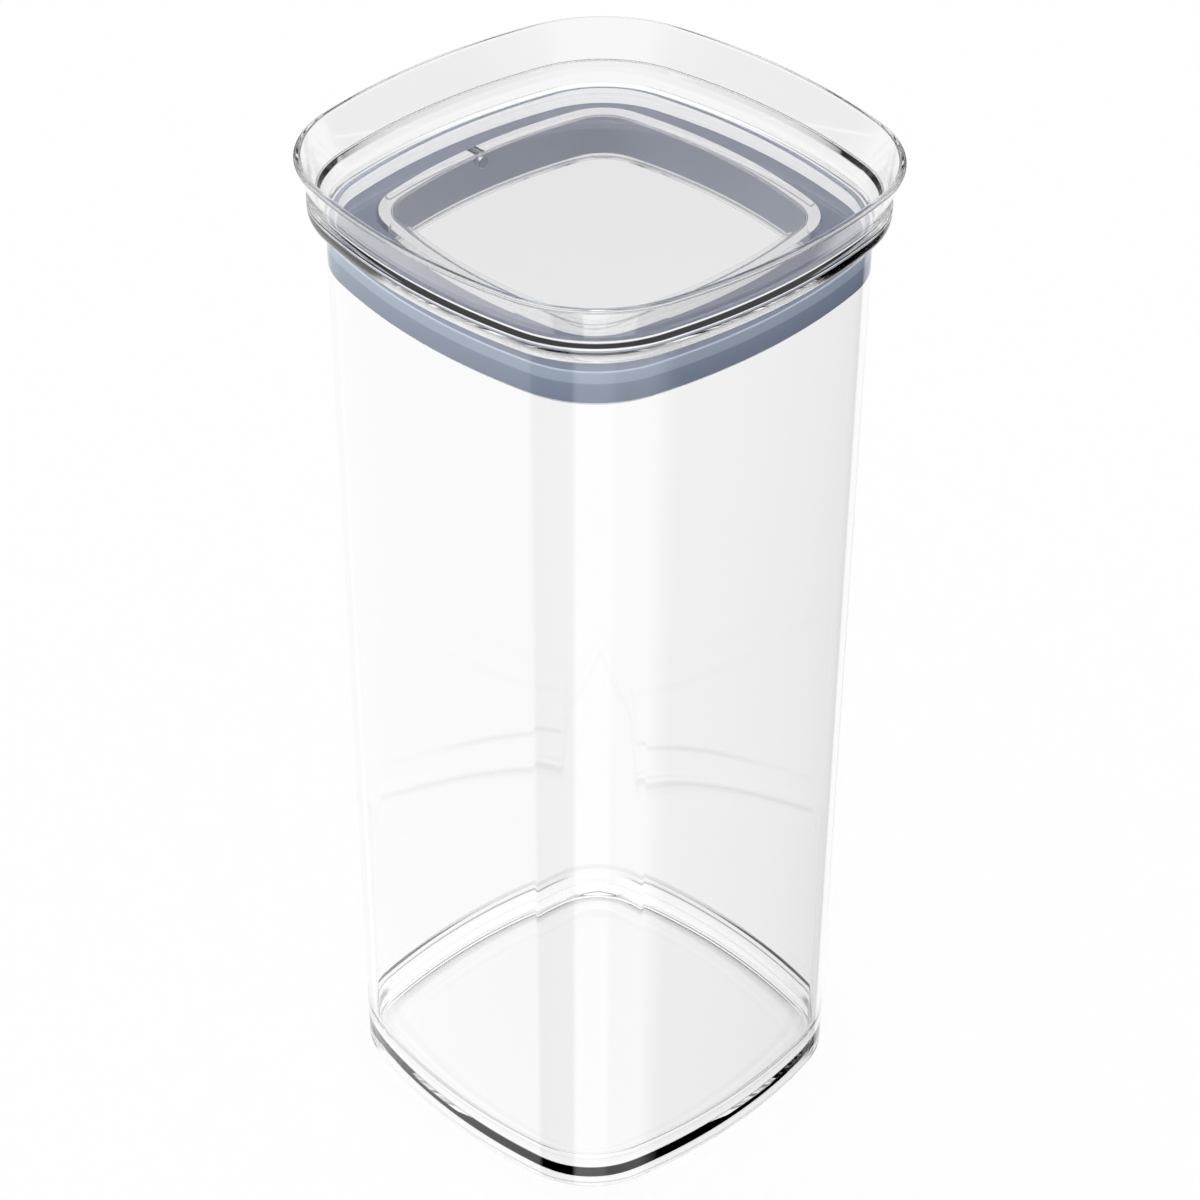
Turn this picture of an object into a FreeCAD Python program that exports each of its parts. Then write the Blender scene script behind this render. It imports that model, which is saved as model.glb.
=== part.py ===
import FreeCAD, Part
import math
import os

# Driving dimensions, in millimetres. The origin is the middle of the base, on the table.

# Plan of the canister just under the lid: four bowed sides joined by four corner arcs.
body_width = 100.0
side_bow_radius = 134.3
corner_radius = 23.6

# Small moulded edges
edge_rounding = 0.4

# Canister
rim_height = 227.3
base_inset = 2.0
wall = 2.0
floor_thickness = 1.4
floor_fillet = 10.0
rim_rounding = 0.95

# Lid tray: a floor that rests on the rim, a bead round its edge and a flared stacking wall
seat_gap = 0.1
tray_floor = 1.6
bead_reach = 3.8
bead_height = 4.9
bead_foot_radius = 3.2
neck_reach = 2.7
neck_rise = 0.8
flare_reach = 6.35
flare_height = 14.7
flare_wall = 1.7
flare_rounding = 0.6
tray_fillet = 3.0

# Plug frame: a square skirt under the tray's floor, filleted at its top, with a lip at its foot
skirt_inset = 11.1
skirt_wall = 2.6
skirt_depth = 11.6
lip_inset = 2.6
lip_thickness = 0.6
lip_rounding = 0.25
flange_reach = 1.3
flange_thickness = 0.2
flange_fillet = 1.0

# Seal ring: sits on the lip, round the skirt; its top falls outward to a flatter sealing edge
seal_inset = 2.3
seal_height = 10.0
seal_edge_drop = 2.6
seal_edge_width = 1.8
seal_edge_fall = 0.4
seal_skirt_gap = 0.2

# Peg of the seal that shows through a hole in the skirt
peg_radius = 1.2
peg_clearance = 0.1
peg_drop = 2.1
peg_stand = 0.3
peg_root = 1.0

# Heights and offsets that follow from these. An offset is measured outward from the plan.
seat_height = rim_height + seat_gap
tray_floor_top = seat_height + tray_floor
lid_top = seat_height + flare_height
bead_top = seat_height + bead_height
plug_foot = seat_height - skirt_depth
lip_top = plug_foot + lip_thickness
seal_top = lip_top + seal_height
floor_edge = -base_inset - wall - floor_fillet - 1.0
tray_floor_edge = -6.0
flare_slope = (flare_reach - neck_reach) / (lid_top - bead_top - neck_rise)
flare_inner_foot = flare_reach - flare_wall - flare_slope * (lid_top - tray_floor_top)

# Plan geometry: each side arc is tangent to the corner arcs beside it.
side_centre = side_bow_radius - body_width / 2
centre_gap = side_bow_radius - corner_radius
corner_centre = (math.sqrt(2 * centre_gap**2 - side_centre**2) - side_centre) / 2
side_half_angle = math.degrees(math.atan2(corner_centre, corner_centre + side_centre))

vertical = FreeCAD.Vector(0, 0, 1)
centre = FreeCAD.Vector(0, 0, 0)


def plan_arcs():
    """Centre, radius, first angle and swept angle of the plan's eight arcs, in order round it."""
    arcs = []
    for quarter in range(4):
        turn = 90.0 * quarter
        side = FreeCAD.Vector(-side_centre, 0, 0)
        corner = FreeCAD.Vector(corner_centre, corner_centre, 0)
        quarter_turn = FreeCAD.Rotation(vertical, turn)
        side_start = turn - side_half_angle
        corner_start = turn + side_half_angle
        corner_sweep = 90.0 - 2 * side_half_angle
        arcs.append((quarter_turn.multVec(side), side_bow_radius, side_start, 2 * side_half_angle))
        arcs.append((quarter_turn.multVec(corner), corner_radius, corner_start, corner_sweep))
    return arcs


def rounded_wire(corners):
    """Closed wire through (offset, height, rounding) corners, with an arc at each rounded one."""
    points = [FreeCAD.Vector(offset, 0, height) for offset, height, rounding in corners]
    edges = []
    ends = []
    for i, (offset, height, rounding) in enumerate(corners):
        point = points[i]
        before = (points[i - 1] - point).normalize()
        after = (points[(i + 1) % len(points)] - point).normalize()
        if rounding == 0:
            ends.append((point, point))
            continue
        half_angle = before.getAngle(after) / 2
        inward = (before + after).normalize()
        arc_centre = point + inward * (rounding / math.sin(half_angle))
        setback = rounding / math.tan(half_angle)
        start = point + before * setback
        end = point + after * setback
        ends.append((start, end))
        edges.append(Part.Arc(start, arc_centre - inward * rounding, end).toShape())
    for i in range(len(ends)):
        start = ends[i][1]
        end = ends[(i + 1) % len(ends)][0]
        edges.append(Part.LineSegment(start, end).toShape())
    return Part.Wire(Part.__sortEdges__(edges))


def ring(corners):
    """Solid that carries a section of (offset, height, rounding) corners once round the plan."""
    sectors = []
    for arc_centre, radius, start, sweep in plan_arcs():
        section = Part.Face(rounded_wire(corners))
        section.translate(FreeCAD.Vector(radius, 0, 0))
        sector = section.revolve(centre, vertical, sweep)
        sector.rotate(centre, vertical, start)
        sector.translate(arc_centre)
        sectors.append(sector)
    return sectors[0].multiFuse(sectors[1:]).removeSplitter()


def plate(offset, low, high):
    """Solid filling the plan out to an offset, between two heights."""
    edges = []
    for arc_centre, radius, start, sweep in plan_arcs():
        middle = arc_centre + FreeCAD.Vector(0, 0, low)
        circle = Part.Circle(middle, vertical, radius + offset)
        first = math.radians(start)
        edges.append(Part.ArcOfCircle(circle, first, first + math.radians(sweep)).toShape())
    face = Part.Face(Part.Wire(edges))
    return face.extrude(FreeCAD.Vector(0, 0, high - low))


def peg(radius):
    """Round bar through the skirt in the middle of the -X side, from inside the seal."""
    root = -body_width / 2 + skirt_inset - seal_skirt_gap - peg_root
    length = peg_root + seal_skirt_gap + skirt_wall + peg_stand
    place = FreeCAD.Vector(root, 0, seal_top - peg_drop)
    return Part.makeCylinder(radius, length, place, FreeCAD.Vector(1, 0, 0))


def make_canister():
    section = [
        (-base_inset, 0, 0),
        (0, rim_height, rim_rounding),
        (-wall, rim_height, rim_rounding),
        (-base_inset - wall, floor_thickness, floor_fillet),
        (floor_edge, floor_thickness, 0),
        (floor_edge, 0, 0),
    ]
    floor = plate(floor_edge, 0, floor_thickness)
    return ring(section).fuse(floor).removeSplitter()


def make_lid_tray():
    section = [
        (tray_floor_edge, seat_height, 0),
        (bead_reach, seat_height, bead_foot_radius),
        (bead_reach, bead_top, edge_rounding),
        (neck_reach, bead_top + neck_rise, edge_rounding),
        (flare_reach, lid_top, flare_rounding),
        (flare_reach - flare_wall, lid_top, flare_rounding),
        (flare_inner_foot, tray_floor_top, tray_fillet),
        (tray_floor_edge, tray_floor_top, 0),
    ]
    floor = plate(tray_floor_edge, seat_height, tray_floor_top)
    return ring(section).fuse(floor).removeSplitter()


def make_plug_frame():
    skirt_inner = -skirt_inset - skirt_wall
    flange_foot = seat_height - flange_thickness
    section = [
        (skirt_inner - flange_reach, seat_height, 0),
        (skirt_inner - flange_reach, flange_foot, 0),
        (skirt_inner, flange_foot, flange_fillet),
        (skirt_inner, plug_foot, edge_rounding),
        (-lip_inset, plug_foot, lip_rounding),
        (-lip_inset, lip_top, lip_rounding),
        (-skirt_inset, lip_top, 0),
        (-skirt_inset, seat_height, 0),
    ]
    return ring(section).cut(peg(peg_radius + peg_clearance))


def make_seal_ring():
    inner = -skirt_inset + seal_skirt_gap
    edge_height = seal_top - seal_edge_drop
    section = [
        (inner, lip_top, 0),
        (-seal_inset, lip_top, edge_rounding),
        (-seal_inset, edge_height, edge_rounding),
        (-seal_inset - seal_edge_width, edge_height + seal_edge_fall, 0),
        (inner, seal_top, edge_rounding),
    ]
    return ring(section).fuse(peg(peg_radius))


os.makedirs("parts", exist_ok=True)
nodes = {
    "canister": make_canister(),
    "lid_tray": make_lid_tray(),
    "plug_frame": make_plug_frame(),
    "seal_ring": make_seal_ring(),
}
for name, shape in nodes.items():
    box = shape.optimalBoundingBox()
    size = [round(length, 1) for length in (box.XLength, box.YLength, box.ZLength)]
    print(name, len(shape.Solids), "solid, valid", shape.isValid(), "size", size)
    shape.exportStep(f"parts/{name}.step")
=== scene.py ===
import math

import bmesh
import bpy
from mathutils import Matrix, Vector


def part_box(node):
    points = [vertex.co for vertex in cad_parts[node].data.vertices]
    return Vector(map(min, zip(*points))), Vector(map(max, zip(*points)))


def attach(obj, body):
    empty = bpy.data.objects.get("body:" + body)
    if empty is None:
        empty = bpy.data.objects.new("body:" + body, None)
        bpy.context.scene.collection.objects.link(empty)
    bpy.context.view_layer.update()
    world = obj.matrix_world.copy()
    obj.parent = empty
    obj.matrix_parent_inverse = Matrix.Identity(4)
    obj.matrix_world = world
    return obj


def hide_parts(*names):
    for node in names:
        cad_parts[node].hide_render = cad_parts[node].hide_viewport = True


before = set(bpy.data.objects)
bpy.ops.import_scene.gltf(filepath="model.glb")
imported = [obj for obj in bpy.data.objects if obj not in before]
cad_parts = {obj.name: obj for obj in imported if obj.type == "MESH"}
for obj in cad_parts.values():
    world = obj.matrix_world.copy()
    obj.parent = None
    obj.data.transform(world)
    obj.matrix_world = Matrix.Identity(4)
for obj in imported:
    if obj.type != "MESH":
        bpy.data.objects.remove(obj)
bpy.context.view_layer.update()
mm = 0.001
mergeReach = 1e-6  # points closer than this become one
print("frame loaded")


class Wire:  # a socket that takes part in sums
    def __init__(self, board, socket):
        self.board = board
        self.socket = socket

    def __add__(self, other):
        return self.board.math("ADD", self, other)

    def __radd__(self, other):
        return self.board.math("ADD", other, self)

    def __sub__(self, other):
        return self.board.math("SUBTRACT", self, other)

    def __rsub__(self, other):
        return self.board.math("SUBTRACT", other, self)

    def __mul__(self, other):
        return self.board.math("MULTIPLY", self, other)

    def __truediv__(self, other):
        return self.board.math("DIVIDE", self, other)

    def __lt__(self, other):
        return self.board.math("LESS_THAN", self, other)

    def __gt__(self, other):
        return self.board.math("GREATER_THAN", self, other)


class Board:  # a node tree that is written as expressions
    def __init__(self, tree):
        self.tree = tree

    def put(self, socket, value):
        if isinstance(value, Wire):
            self.tree.links.new(value.socket, socket)
        elif value is not None:
            socket.default_value = value

    def node(self, kind, settings=None, sockets=None, out=0):
        made = self.tree.nodes.new(kind)
        for name, value in (settings or {}).items():
            if name == "stops":
                setStops(made.color_ramp, value)
            else:
                setattr(made, name, value)
        for name, value in (sockets or {}).items():
            self.put(made.inputs[name], value)
        return Wire(self, made.outputs[out]) if len(made.outputs) else made

    def math(self, operation, *values):
        return self.node("ShaderNodeMath", {"operation": operation}, dict(enumerate(values)))


def setStops(ramp, stops):
    while len(ramp.elements) < len(stops):
        ramp.elements.new(1.0)
    for element, (place, colour) in zip(ramp.elements, stops):
        element.position = place
        element.color = colour


# Plan: four bowed sides and four corner arcs, read by the way the wall faces

plan = {
    "halfWidth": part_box("canister")[1].x,
    "bowRadius": 134.3 * mm,
    "cornerRadius": 23.6 * mm,
    "sideSteps": 28,
    "cornerSteps": 48,
}


def planCentres():
    side = plan["bowRadius"] - plan["halfWidth"]
    gap = plan["bowRadius"] - plan["cornerRadius"]
    corner = (math.sqrt(2 * gap**2 - side**2) - side) / 2
    return side, corner, math.atan2(corner, corner + side)


def sweepTree():
    # carries a section of (offset, shrink, height) points once round the plan
    tree = bpy.data.node_groups.new("sectionRoundPlan", "GeometryNodeTree")
    tree.interface.new_socket("Section", in_out="INPUT", socket_type="NodeSocketGeometry")
    for name in ("Bow Radius", "Corner Radius", "Side Centre", "Corner Centre", "Side Angle"):
        tree.interface.new_socket(name, in_out="INPUT", socket_type="NodeSocketFloat")
    for name in ("Side Steps", "Corner Steps"):
        tree.interface.new_socket(name, in_out="INPUT", socket_type="NodeSocketInt")
    tree.interface.new_socket("Finish", in_out="INPUT", socket_type="NodeSocketMaterial")
    tree.interface.new_socket("Shell", in_out="OUTPUT", socket_type="NodeSocketGeometry")
    board = Board(tree)
    entry = tree.nodes.new("NodeGroupInput")
    given = {socket.name: Wire(board, socket) for socket in entry.outputs if socket.name}

    rows = board.node(
        "GeometryNodeAttributeDomainSize",
        {"component": "MESH"},
        {"Geometry": given["Section"]},
        "Point Count",
    )
    quarterSteps = given["Side Steps"] + given["Corner Steps"]
    columns = quarterSteps * 4 + 1
    grid = board.node("GeometryNodeMeshGrid", None, {"Vertices X": columns, "Vertices Y": rows})
    index = board.node("GeometryNodeInputIndex")
    column = board.math("FLOOR", (index + 0.5) / rows)
    row = index - column * rows
    quarter = board.math("FLOOR", (column + 0.5) / quarterSteps)
    step = column - quarter * quarterSteps

    # the way the wall faces, within its own quarter
    sideAngle = given["Side Angle"]
    onSide = step < given["Side Steps"] - 0.5
    sideTurn = sideAngle * (step / given["Side Steps"] * 2 - 1)
    cornerShare = (step - given["Side Steps"]) / given["Corner Steps"]
    cornerTurn = sideAngle + (math.pi / 2 - sideAngle * 2) * cornerShare
    turn = onSide * sideTurn + (1 - onSide) * cornerTurn

    place = board.node("GeometryNodeInputPosition")
    point = board.node(
        "GeometryNodeSampleIndex",
        {"data_type": "FLOAT_VECTOR", "domain": "POINT"},
        {"Geometry": given["Section"], "Value": place, "Index": row},
    )
    offset = board.node("ShaderNodeSeparateXYZ", None, {"Vector": point}, "X")
    shrink = board.node("ShaderNodeSeparateXYZ", None, {"Vector": point}, "Y")
    height = board.node("ShaderNodeSeparateXYZ", None, {"Vector": point}, "Z")
    radius = onSide * given["Bow Radius"] + (1 - onSide) * given["Corner Radius"] + offset
    centreX = (1 - onSide) * given["Corner Centre"] - onSide * given["Side Centre"]
    centreY = (1 - onSide) * given["Corner Centre"]
    along = (centreX + radius * board.math("COSINE", turn)) * shrink
    across = (centreY + radius * board.math("SINE", turn)) * shrink
    flat = board.node("ShaderNodeCombineXYZ", None, {"X": along, "Y": across, "Z": height})
    placed = board.node(
        "ShaderNodeVectorRotate",
        {"rotation_type": "Z_AXIS"},
        {"Vector": flat, "Angle": quarter * (math.pi / 2)},
    )
    swept = board.node("GeometryNodeSetPosition", None, {"Geometry": grid, "Position": placed})
    seam = {"Geometry": swept, "Distance": mergeReach}
    closed = board.node("GeometryNodeMergeByDistance", None, seam)
    smooth = board.node("GeometryNodeSetShadeSmooth", None, {"Geometry": closed})
    real = board.node("GeometryNodeRealizeInstances", None, {"Geometry": smooth})
    coat = {"Geometry": real, "Material": given["Finish"]}
    finished = board.node("GeometryNodeSetMaterial", None, coat)
    board.put(tree.nodes.new("NodeGroupOutput").inputs["Shell"], finished)
    return tree


sectionSizes = {"arcSteps": 9, "guard": 0.25 * mm, "guardShare": 0.4}


def roundedSection(corners, closed, arcSteps=sectionSizes["arcSteps"]):
    # (offset, height, rounding) corners to points; guard points beside each arc keep flats flat
    guard, share = sectionSizes["guard"], sectionSizes["guardShare"]
    places = [Vector(corner[:2]) for corner in corners]
    count = len(corners)
    ends = () if closed else (0, count - 1)
    arms = []
    for i, (offset, height, rounding) in enumerate(corners):
        before = (places[i - 1] - places[i]).normalized()
        after = (places[(i + 1) % count] - places[i]).normalized()
        half = before.angle(after) / 2
        setback = 0.0 if i in ends else rounding / math.tan(half)
        arms.append((before, after, half, setback))
    points = []
    for i, (offset, height, rounding) in enumerate(corners):
        before, after, half, setback = arms[i]
        if i in ends or rounding == 0:
            points.append(places[i])
            continue
        following = (i + 1) % count
        spareBefore = (places[i - 1] - places[i]).length - setback - arms[i - 1][3]
        spareAfter = (places[following] - places[i]).length - setback - arms[following][3]
        inward = (before + after).normalized()
        centre = places[i] + inward * (rounding / math.sin(half))
        sense = 1 if before.cross(after) < 0 else -1
        points.append(places[i] + before * (setback + min(guard, spareBefore * share)))
        for k in range(arcSteps + 1):
            swing = sense * (math.pi - 2 * half) * (k / arcSteps - 0.5)
            points.append(centre - Matrix.Rotation(swing, 2) @ inward * rounding)
        points.append(places[i] + after * (setback + min(guard, spareAfter * share)))
    if closed:
        points.append(points[0].copy())
    return points


def sweepPiece(name, points, finish, poles=False):
    # points are (offset, height); with poles the section starts and ends on the axis
    rows = [(p.x, 1.0, p.y) for p in points]
    if poles:
        rows = [(points[0].x, 0.0, points[0].y)] + rows + [(points[-1].x, 0.0, points[-1].y)]
    section = bpy.data.meshes.new(name + "Section")
    section.from_pydata(rows, [(i, i + 1) for i in range(len(rows) - 1)], [])
    holder = bpy.data.objects.new(name + "Section", section)
    bpy.context.collection.objects.link(holder)
    modifier = holder.modifiers.new("sweep", "NODES")
    modifier.node_group = planSweep
    side, corner, sideAngle = planCentres()
    values = {
        "Bow Radius": plan["bowRadius"],
        "Corner Radius": plan["cornerRadius"],
        "Side Centre": side,
        "Corner Centre": corner,
        "Side Angle": sideAngle,
        "Side Steps": plan["sideSteps"],
        "Corner Steps": plan["cornerSteps"],
        "Finish": finish,
    }
    for item in planSweep.interface.items_tree:
        if item.name in values:
            modifier[item.identifier] = values[item.name]
    return plainMesh(holder, name)


def plainMesh(holder, name):
    # the evaluated result as a new plain object, outward facing
    depsgraph = bpy.context.evaluated_depsgraph_get()
    mesh = bpy.data.meshes.new_from_object(holder.evaluated_get(depsgraph))
    mesh.name = name
    bpy.data.objects.remove(holder)
    work = bmesh.new()
    work.from_mesh(mesh)
    bmesh.ops.recalc_face_normals(work, faces=work.faces)
    work.to_mesh(mesh)
    work.free()
    piece = bpy.data.objects.new(name, mesh)
    bpy.context.collection.objects.link(piece)
    return piece


creaseAngle = math.radians(35)


def cutOrJoin(piece, tool, operation):
    finish = [material for material in piece.data.materials if material][0]
    tool.data.materials.append(finish)
    modifier = piece.modifiers.new("carve", "BOOLEAN")
    modifier.operation = operation
    modifier.solver = "EXACT"
    modifier.object = tool
    depsgraph = bpy.context.evaluated_depsgraph_get()
    mesh = bpy.data.meshes.new_from_object(piece.evaluated_get(depsgraph))
    piece.modifiers.remove(modifier)
    mesh.name = piece.name
    piece.data = mesh
    bpy.data.objects.remove(tool)
    mesh.materials.clear()
    mesh.materials.append(finish)
    work = bmesh.new()
    work.from_mesh(mesh)
    for edge in work.edges:
        if edge.is_manifold and edge.calc_face_angle(0.0) > creaseAngle:
            edge.smooth = False
    for face in work.faces:
        face.smooth = True
        face.material_index = 0
    work.to_mesh(mesh)
    work.free()


# Finishes

def newFinish(name):
    material = bpy.data.materials.new(name)
    material.use_nodes = True
    board = Board(material.node_tree)
    shader = material.node_tree.nodes["Principled BSDF"]
    return material, board, shader


def objectPlace(board):
    return board.node("ShaderNodeTexCoord", None, None, "Object")


def softStep(board, value, low, high):
    span = {"Value": value, "From Min": low, "From Max": high}
    return board.node("ShaderNodeMapRange", {"interpolation_type": "SMOOTHSTEP"}, span)


def blend(board, share, first, second):
    sockets = {"Factor": share, "A": first, "B": second}
    return board.node("ShaderNodeMix", {"data_type": "RGBA"}, sockets, "Result")


def cloudNoise(board, place, scale, detail):
    sockets = {"Vector": place, "Scale": scale, "Detail": detail}
    return board.node("ShaderNodeTexNoise", None, sockets, "Fac")


def axisOf(board, vector, axis):
    return board.node("ShaderNodeSeparateXYZ", None, {"Vector": vector}, axis)


clearLook = {
    "index": 1.56,
    "hazeScale": 35.0,
    "hazeDetail": 3.0,
    "flowScale": 12.0,
    "flowDetail": 1.0,
    "wear": 0.01,
    "bodyTint": (0.985, 0.985, 0.99),
    "lidTint": (0.96, 0.96, 0.968),
}
# painted shade: a greyer tone with a soft edge on the canister's floor
paintedFloorShade = {
    "tint": (0.955, 0.955, 0.96, 1.0),
    "top": 3.2 * mm,
    "foot": 1.0 * mm,
    "inner": 33 * mm,
    "outer": 40 * mm,
    "squareness": 4.0,
}


def clearPlastic(name, tint):
    # painted shade: the floor of the canister is painted a shade greyer, with a soft edge
    material, board, shader = newFinish(name)
    place = objectPlace(board)
    haze = cloudNoise(board, place, clearLook["hazeScale"], clearLook["hazeDetail"])
    board.put(shader.inputs["Roughness"], haze * clearLook["wear"])
    flow = cloudNoise(board, place, clearLook["flowScale"], clearLook["flowDetail"])
    clear = blend(board, flow, (*tint, 1.0), (1.0, 1.0, 1.0, 1.0))
    power = paintedFloorShade["squareness"]
    along = board.math("POWER", board.math("ABSOLUTE", axisOf(board, place, "X")), power)
    across = board.math("POWER", board.math("ABSOLUTE", axisOf(board, place, "Y")), power)
    reach = board.math("POWER", along + across, 1 / power)
    low = softStep(board, axisOf(board, place, "Z"), paintedFloorShade["top"], paintedFloorShade["foot"])
    onFloor = low * softStep(board, reach, paintedFloorShade["outer"], paintedFloorShade["inner"])
    shade = blend(board, onFloor, clear, paintedFloorShade["tint"])
    board.put(shader.inputs["Base Color"], shade)
    shader.inputs["Transmission Weight"].default_value = 1.0
    shader.inputs["IOR"].default_value = clearLook["index"]
    return material


# painted light: lit and shaded copies of one seal rubber, chosen by face direction and height
sealTones = {
    "shadedLowerWallFace": (0.355, 0.42, 0.55, 1.0),
    "litUpperWallFace": (0.52, 0.60, 0.71, 1.0),
    "edge": (0.17, 0.205, 0.29, 1.0),
    "bevel": (0.19, 0.22, 0.30, 1.0),
    "inner": (0.215, 0.25, 0.335, 1.0),
    "shadeLineHeight": 221.1 * mm,
    "bevelFoot": 224.3 * mm,
    "shadeLineSoft": 0.2 * mm,
    "bevelSoft": 0.1 * mm,
    "outward": 0.02,
    "cloud": (0.3, 0.34, 0.42, 1.0),
    "cloudShare": 0.12,
    "cloudScale": 60.0,
    "cloudDetail": 4.0,
    "roughness": 0.42,
    "roughSpread": 0.16,
    "grainScale": 2200.0,
    "grainDetail": 2.0,
    "grainStrength": 0.12,
    "grainDepth": 0.1 * mm,
}


def softSeal(name):
    # painted light: the faces pressed on the wall are painted paler, to stand in for the light that
    # has to leave through that wall; on them the upper part is painted lighter than the lower as
    # painted shade, and the top faces above bevelFoot are painted a shade lighter than those below
    material, board, shader = newFinish(name)
    place = objectPlace(board)
    t = sealTones
    height = axisOf(board, place, "Z")
    cloud = cloudNoise(board, place, t["cloudScale"], t["cloudDetail"])
    flatten = {0: place, 1: (1.0, 1.0, 0.0)}
    level = board.node("ShaderNodeVectorMath", {"operation": "MULTIPLY"}, flatten)
    normal = board.node("ShaderNodeNewGeometry", None, None, "Normal")
    dot = {"operation": "DOT_PRODUCT"}
    outward = board.node("ShaderNodeVectorMath", dot, {0: level, 1: normal}, "Value")
    # painted shade: the wall face is lighter above the ridge height, the top lighter above
    # bevelFoot
    ridgeAt, ridgeSoft = t["shadeLineHeight"], t["shadeLineSoft"]
    bevelAt, bevelSoft = t["bevelFoot"], t["bevelSoft"]
    ridge = softStep(board, height, ridgeAt - ridgeSoft, ridgeAt + ridgeSoft)
    bevel = softStep(board, height, bevelAt - bevelSoft, bevelAt + bevelSoft)
    paintedWallFace = blend(board, ridge, t["shadedLowerWallFace"], t["litUpperWallFace"])
    top = blend(board, bevel, t["edge"], t["bevel"])
    inside = blend(board, outward < -t["outward"], top, t["inner"])
    plain = blend(board, outward > t["outward"], inside, paintedWallFace)
    board.put(shader.inputs["Base Color"], blend(board, cloud * t["cloudShare"], plain, t["cloud"]))
    board.put(shader.inputs["Roughness"], t["roughness"] + cloud * t["roughSpread"])
    grain = cloudNoise(board, place, t["grainScale"], t["grainDetail"])
    press = {"Height": grain, "Strength": t["grainStrength"], "Distance": t["grainDepth"]}
    board.put(shader.inputs["Normal"], board.node("ShaderNodeBump", None, press))
    return material


clearBody = clearPlastic("clearBody", clearLook["bodyTint"])
clearLid = clearPlastic("clearLid", clearLook["lidTint"])
sealFinish = softSeal("sealRubber")
planSweep = sweepTree()
print("finishes and sweep ready")


# Canister

canisterSizes = {
    "rimHeight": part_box("canister")[1].z,
    "baseInset": 2.0 * mm,
    "wall": 2.0 * mm,
    "floor": 1.4 * mm,
    "floorFillet": 10.0 * mm,
    "rimRounding": 0.95 * mm,
    "footRounding": 0.4 * mm,
    "floorEdge": 15.0 * mm,
    "arcSteps": 20,
}


def makeCanister():
    s = canisterSizes
    corners = [
        (-s["floorEdge"], 0, 0),
        (-s["baseInset"], 0, s["footRounding"]),
        (0, s["rimHeight"], s["rimRounding"]),
        (-s["wall"], s["rimHeight"], s["rimRounding"]),
        (-s["baseInset"] - s["wall"], s["floor"], s["floorFillet"]),
        (-s["floorEdge"], s["floor"], 0),
    ]
    section = roundedSection(corners, False, s["arcSteps"])
    return sweepPiece("canisterShell", section, clearBody, poles=True)


# Lid tray

traySizes = {
    "seat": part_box("lid_tray")[0].z,
    "top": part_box("lid_tray")[1].z,
    "floor": 1.6 * mm,
    "beadReach": 3.8 * mm,
    "beadHeight": 4.9 * mm,
    "beadFootRadius": 3.2 * mm,
    "neckReach": 2.7 * mm,
    "neckRise": 0.8 * mm,
    "flareReach": 6.35 * mm,
    "flareWall": 1.7 * mm,
    "flareRounding": 0.6 * mm,
    "edgeRounding": 0.4 * mm,
    "fillet": 3.0 * mm,
    "floorEdge": 6.0 * mm,
}


def makeTray():
    s = traySizes
    beadTop = s["seat"] + s["beadHeight"]
    neckTop = beadTop + s["neckRise"]
    floorTop = s["seat"] + s["floor"]
    slope = (s["flareReach"] - s["neckReach"]) / (s["top"] - neckTop)
    innerFoot = s["flareReach"] - s["flareWall"] - slope * (s["top"] - floorTop)
    corners = [
        (-s["floorEdge"], s["seat"], 0),
        (s["beadReach"], s["seat"], s["beadFootRadius"]),
        (s["beadReach"], beadTop, s["edgeRounding"]),
        (s["neckReach"], neckTop, s["edgeRounding"]),
        (s["flareReach"], s["top"], s["flareRounding"]),
        (s["flareReach"] - s["flareWall"], s["top"], s["flareRounding"]),
        (innerFoot, floorTop, s["fillet"]),
        (-s["floorEdge"], floorTop, 0),
    ]
    return sweepPiece("trayShell", roundedSection(corners, False), clearLid, poles=True)


# Plug frame and seal

contactGap = 0.05 * mm  # a film of air between mouldings that touch
plugSizes = {
    "foot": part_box("plug_frame")[0].z,
    "top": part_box("plug_frame")[1].z - contactGap,
    "skirtInset": 11.1 * mm,
    "skirtWall": 2.6 * mm,
    "lipInset": 2.6 * mm,
    "lip": 0.6 * mm,
    "lipRounding": 0.25 * mm,
    "flangeReach": 1.3 * mm,
    "flange": 0.2 * mm,
    "flangeFillet": 1.0 * mm,
    "edgeRounding": 0.4 * mm,
    "fineRounding": 0.08 * mm,
}
sealSizes = {
    "foot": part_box("seal_ring")[0].z + contactGap,
    "height": 10.0 * mm,
    "press": 0.1 * mm,
    "edgeDrop": 2.6 * mm,
    "edgeWidth": 1.8 * mm,
    "edgeFall": 0.4 * mm,
    "ridgeRise": 4.6 * mm,
    "ridgeDraw": 0.07 * mm,
    "skirtGap": 0.2 * mm,
    "edgeRounding": 0.4 * mm,
    "pegRadius": 1.2 * mm,
    "pegClearance": 0.1 * mm,
    "pegDrop": 2.1 * mm,
    "pegStand": 0.3 * mm,
    "pegRoot": 1.0 * mm,
    "pegSides": 48,
    "pegArcSteps": 6,
}
sealSizes["top"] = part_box("seal_ring")[0].z + sealSizes["height"]


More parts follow.
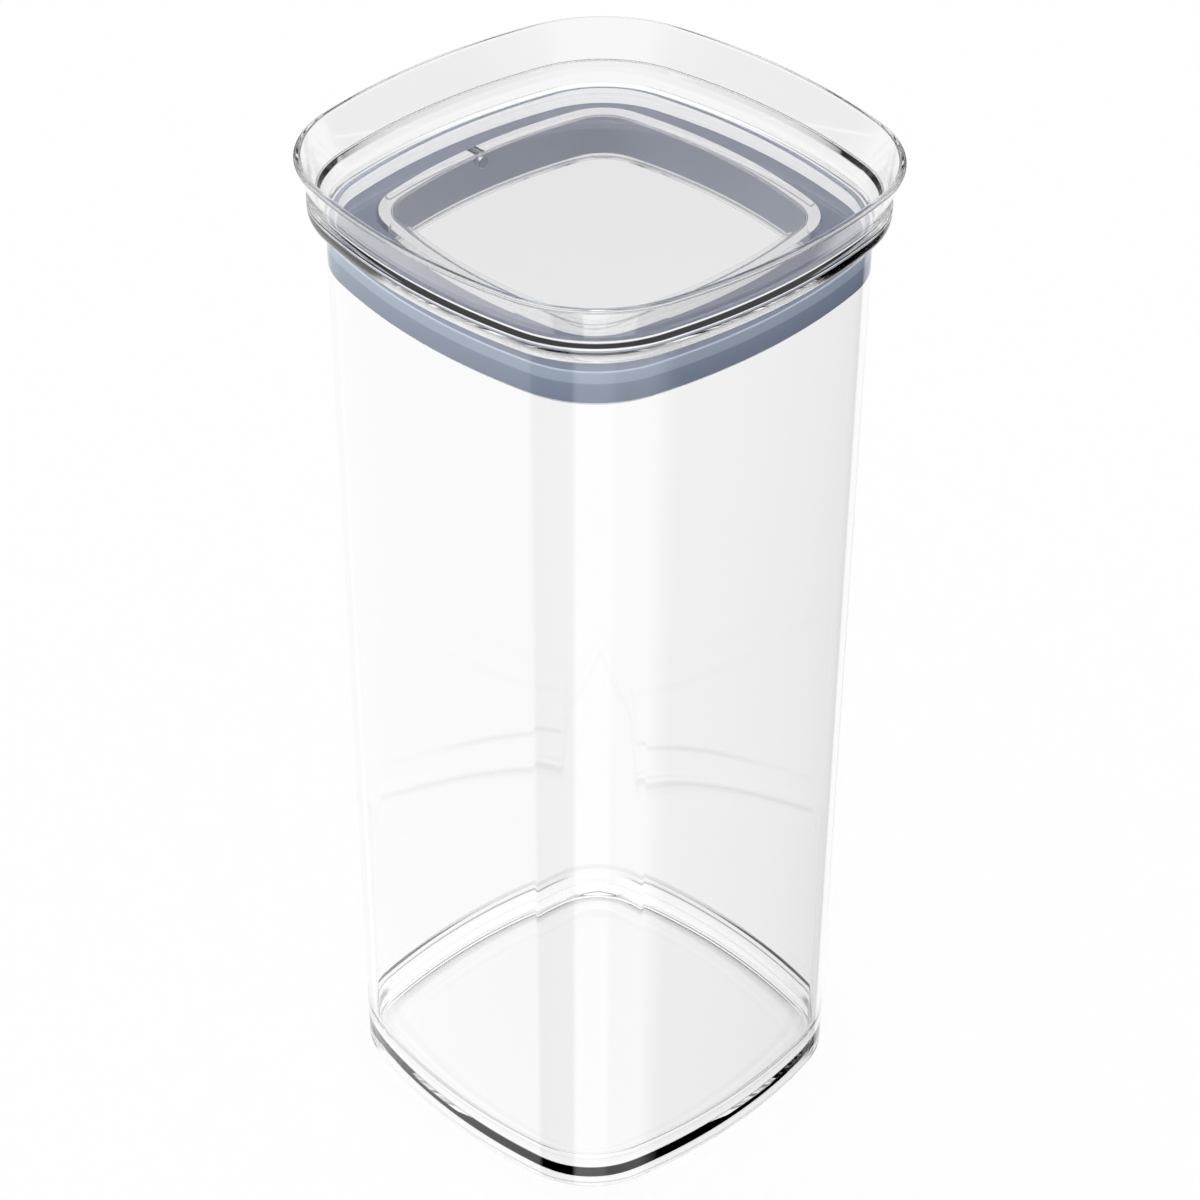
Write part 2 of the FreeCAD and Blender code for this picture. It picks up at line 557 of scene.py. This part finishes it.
def roundBar(name, radius, rounding):
    # the peg through the skirt, in the middle of the -X side
    s = sealSizes
    start = -plan["halfWidth"] + plugSizes["skirtInset"] - s["skirtGap"] - s["pegRoot"]
    end = -plan["halfWidth"] + plugSizes["skirtInset"] + plugSizes["skirtWall"] + s["pegStand"]
    height = s["top"] - s["pegDrop"]
    outline = [(start, 0.0), (start, radius)]
    for k in range(s["pegArcSteps"] + 1):
        swing = math.pi / 2 * k / s["pegArcSteps"]
        along = end - rounding * (1 - math.sin(swing))
        outline.append((along, radius - rounding * (1 - math.cos(swing))))
    outline.append((end, 0.0))
    work = bmesh.new()
    rings = []
    for along, arm in outline:
        ring = []
        for k in range(s["pegSides"]):
            swing = 2 * math.pi * k / s["pegSides"]
            across, rise = arm * math.cos(swing), arm * math.sin(swing)
            ring.append(work.verts.new((along, across, height + rise)))
        rings.append(ring)
    for a, b in zip(rings, rings[1:]):
        for k in range(s["pegSides"]):
            n = (k + 1) % s["pegSides"]
            work.faces.new((a[k], a[n], b[n], b[k]))
    bmesh.ops.remove_doubles(work, verts=work.verts, dist=mergeReach / 10)
    bmesh.ops.recalc_face_normals(work, faces=work.faces)
    mesh = bpy.data.meshes.new(name)
    work.to_mesh(mesh)
    work.free()
    bar = bpy.data.objects.new(name, mesh)
    bpy.context.collection.objects.link(bar)
    return bar


def makePlug():
    s = plugSizes
    inner = -s["skirtInset"] - s["skirtWall"]
    lipTop = s["foot"] + s["lip"]
    flangeFoot = s["top"] - s["flange"]
    corners = [
        (inner - s["flangeReach"], s["top"], s["fineRounding"]),
        (inner - s["flangeReach"], flangeFoot, s["fineRounding"]),
        (inner, flangeFoot, s["flangeFillet"]),
        (inner, s["foot"], s["edgeRounding"]),
        (-s["lipInset"], s["foot"], s["lipRounding"]),
        (-s["lipInset"], lipTop, s["lipRounding"]),
        (-s["skirtInset"], lipTop, s["fineRounding"]),
        (-s["skirtInset"], s["top"], s["fineRounding"]),
    ]
    piece = sweepPiece("plugShell", roundedSection(corners, True), clearLid)
    holeRadius = sealSizes["pegRadius"] + sealSizes["pegClearance"]
    cutOrJoin(piece, roundBar("pegHole", holeRadius, 0.0), "DIFFERENCE")
    return piece


def makeSeal():
    # the soft ring is drawn pressed on the wall, so no air shows between them
    s = sealSizes
    inner = -plugSizes["skirtInset"] + s["skirtGap"]
    drop = 1 - (s["foot"] + s["ridgeRise"]) / canisterSizes["rimHeight"]
    wall = -canisterSizes["wall"] - canisterSizes["baseInset"] * drop + s["press"]
    edgeHeight = s["top"] - s["edgeDrop"]
    corners = [
        (inner, s["foot"], s["edgeRounding"]),
        (wall - s["ridgeDraw"], s["foot"], s["edgeRounding"]),
        (wall, s["foot"] + s["ridgeRise"], s["edgeRounding"] / 4),
        (wall - s["ridgeDraw"], edgeHeight, s["edgeRounding"]),
        (wall - s["edgeWidth"], edgeHeight + s["edgeFall"], s["edgeRounding"] / 2),
        (inner, s["top"], s["edgeRounding"]),
    ]
    piece = sweepPiece("sealBand", roundedSection(corners, True), sealFinish)
    cutOrJoin(piece, roundBar("peg", s["pegRadius"], s["pegStand"]), "UNION")
    return piece


pieces = [
    (makeCanister(), "canister", "canister", "clear_body"),
    (makeTray(), "lid_tray", "lid", "clear_lid"),
    (makePlug(), "plug_frame", "lid", "clear_lid"),
    (makeSeal(), "seal_ring", "lid", "seal"),
]
for piece, node, body, slot in pieces:
    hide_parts(node)
    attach(piece, body)
    print(piece.name, len(piece.data.polygons), "faces")


# Stage

stageSizes = {
    "floor": 6.0,
    "drop": 0.05 * mm,
    "tone": (0.9, 0.9, 0.9, 1.0),
    "roughness": 0.9,
    "whiteShare": 0.75,  # of what the camera sees of the floor, so that it stays near white
    "facing": math.radians(-43.57),  # the way from the object to the photographer
}
# banks below the horizon, by the way round from the photographer: (start in degrees, level)
lowerBanks = [(-180, 1.0), (-135, 1.2), (-66, 0.0), (-20, 2.0), (20, 1.3), (66, 0.0), (135, 1.0)]
# surround above the horizon by height: (height, level)
upperLevels = [(0.0, 0.95), (0.05, 0.16), (0.17, 0.18), (0.28, 1.0), (1.0, 1.1)]
# dim flag behind the object: height range, half width in degrees
rearFlag = {
    "low": 0.455,
    "high": 0.64,
    "soft": 0.02,
    "half": 70.0,
    "sideSoft": 12.0,
    "level": 0.25,
}
surround = {
    "through": 0.95,
    "horizon": 0.35,
    "bankTop": -0.18,
    "bankFoot": -0.3,
    "bankSoft": 0.008,
    "frontEdge": 0.6,
    "frontFull": 0.85,
}
# plain soft light for the dull surfaces, brighter from above and the left
plainLight = {"level": 0.95, "rise": 0.25, "left": 0.3}


def makeFloor():
    half = stageSizes["floor"] / 2
    low = -stageSizes["drop"]
    corners = [(-half, -half, low), (half, -half, low), (half, half, low), (-half, half, low)]
    mesh = bpy.data.meshes.new("floor")
    mesh.from_pydata(corners, [], [(0, 1, 2, 3)])
    floor = bpy.data.objects.new("floor", mesh)
    bpy.context.collection.objects.link(floor)
    floor.visible_glossy = False  # the clear pieces see the white surround instead
    floor.visible_transmission = False
    material, board, shader = newFinish("paleFloor")
    shader.inputs["Base Color"].default_value = stageSizes["tone"]
    shader.inputs["Roughness"].default_value = stageSizes["roughness"]
    shader.inputs["Specular IOR Level"].default_value = 0.0
    seen = board.node("ShaderNodeLightPath", None, None, "Is Camera Ray")
    white = board.node("ShaderNodeEmission", None, {"Color": (1, 1, 1, 1), "Strength": 1.0})
    lit = Wire(board, shader.outputs[0])
    share = seen * stageSizes["whiteShare"]
    mixed = board.node("ShaderNodeMixShader", None, {0: share, 1: lit, 2: white})
    board.put(material.node_tree.nodes["Material Output"].inputs["Surface"], mixed)
    mesh.materials.append(material)


def levelRamp(board, stops, value):
    # grey levels up to 2, by place along a ramp
    greys = [(place, (level / 2, level / 2, level / 2, 1.0)) for place, level in stops]
    ramp = board.node("ShaderNodeValToRGB", {"stops": greys}, {"Fac": value})
    return board.node("ShaderNodeRGBToBW", None, {"Color": ramp}) * 2


def mixLevel(share, first, second):
    return first + share * (second - first)


def makeWorld():
    world = bpy.data.worlds.new("studio")
    bpy.context.scene.world = world
    world.use_nodes = True
    board = Board(world.node_tree)
    way = board.node("ShaderNodeTexCoord", None, None, "Generated")
    front = stageSizes["facing"]
    dot = {"operation": "DOT_PRODUCT"}
    up = axisOf(board, way, "Z")
    forward = (math.cos(front), math.sin(front), 0.0)
    sideways = (-math.sin(front), math.cos(front), 0.0)
    ahead = board.node("ShaderNodeVectorMath", dot, {0: way, 1: forward}, "Value")
    aside = board.node("ShaderNodeVectorMath", dot, {0: way, 1: sideways}, "Value")
    around = board.math("ARCTAN2", aside, ahead) / math.radians(360) + 0.5

    # banks of light and flags, seen in the clear pieces
    soft = surround["bankSoft"]
    stops = [(0.0, lowerBanks[0][1])]
    for (start, level), (lastStart, lastLevel) in zip(lowerBanks[1:], lowerBanks):
        stops.append((start / 360 + 0.5 - soft, lastLevel))
        stops.append((start / 360 + 0.5 + soft, level))
    banks = levelRamp(board, stops, around)
    upper = levelRamp(board, upperLevels, up)
    f = rearFlag
    flagLow = softStep(board, up, f["low"] - f["soft"], f["low"] + f["soft"])
    flagHigh = softStep(board, up, f["high"] + f["soft"], f["high"] - f["soft"])
    rear = (board.math("ABSOLUTE", around - 0.5) - 0.5) * 360 + f["half"]
    flagged = flagLow * flagHigh * softStep(board, rear, -f["sideSoft"], f["sideSoft"])
    frontBank = softStep(board, ahead, surround["frontEdge"], surround["frontFull"])
    above = mixLevel(frontBank, upper * (1 - flagged * (1 - f["level"])), 1.0)
    banked = softStep(board, up, surround["bankTop"], surround["bankFoot"])
    mirrored = surround["horizon"] + banked * (banks - surround["horizon"])
    through = board.node("ShaderNodeLightPath", None, None, "Is Transmission Ray")
    below = through * surround["through"] + (1 - through) * mirrored
    shown = mixLevel(up > 0.0, below, above)

    dull = board.node("ShaderNodeLightPath", None, None, "Diffuse Depth") > 0.5
    direct = board.node("ShaderNodeLightPath", None, None, "Is Camera Ray")
    even = plainLight["level"] + up * plainLight["rise"] - aside * plainLight["left"]
    level = direct + (1 - direct) * (dull * even + (1 - dull) * shown)
    background = world.node_tree.nodes["Background"]
    board.put(background.inputs["Strength"], level)
    background.inputs["Color"].default_value = (1.0, 1.0, 1.0, 1.0)


makeFloor()
makeWorld()


# Camera at the photograph's angle

cameraSizes = {
    "lens": 107.02,
    "clip": 20.0,
    "reach": 0.651987,
    "height": 0.595268,
    "azimuth": math.radians(-43.568),
    "pitch": math.radians(35.586),
    "yaw": math.radians(-0.057),
    "roll": math.radians(0.361),
}


def makeCamera():
    s = cameraSizes
    data = bpy.data.cameras.new("camera")
    data.lens = s["lens"]
    data.clip_end = s["clip"]
    camera = bpy.data.objects.new("camera", data)
    bpy.context.collection.objects.link(camera)
    facing = s["azimuth"] + math.pi + s["yaw"]
    level = math.cos(s["pitch"])
    ahead = Vector((math.cos(facing) * level, math.sin(facing) * level, -math.sin(s["pitch"])))
    right = Vector((math.sin(facing), -math.cos(facing), 0.0))
    up = right.cross(ahead)
    tilt = Matrix.Rotation(-s["roll"], 3, ahead)
    right = tilt @ right
    up = tilt @ up
    turn = Matrix((right, up, -ahead)).transposed()
    along = s["reach"] * math.cos(s["azimuth"])
    across = s["reach"] * math.sin(s["azimuth"])
    stand = Vector((along, across, s["height"]))
    camera.matrix_world = Matrix.Translation(stand) @ turn.to_4x4()
    bpy.context.scene.camera = camera


makeCamera()
bpy.context.scene.view_settings.view_transform = "Standard"
paths = bpy.context.scene.cycles
clearBounces = 28  # enough for light to find its way out of the clear walls
paths.max_bounces = clearBounces
paths.transmission_bounces = clearBounces
paths.glossy_bounces = clearBounces
paths.blur_glossy = 0.0  # light that reaches the seal through the clear walls stays true
print("stage ready")
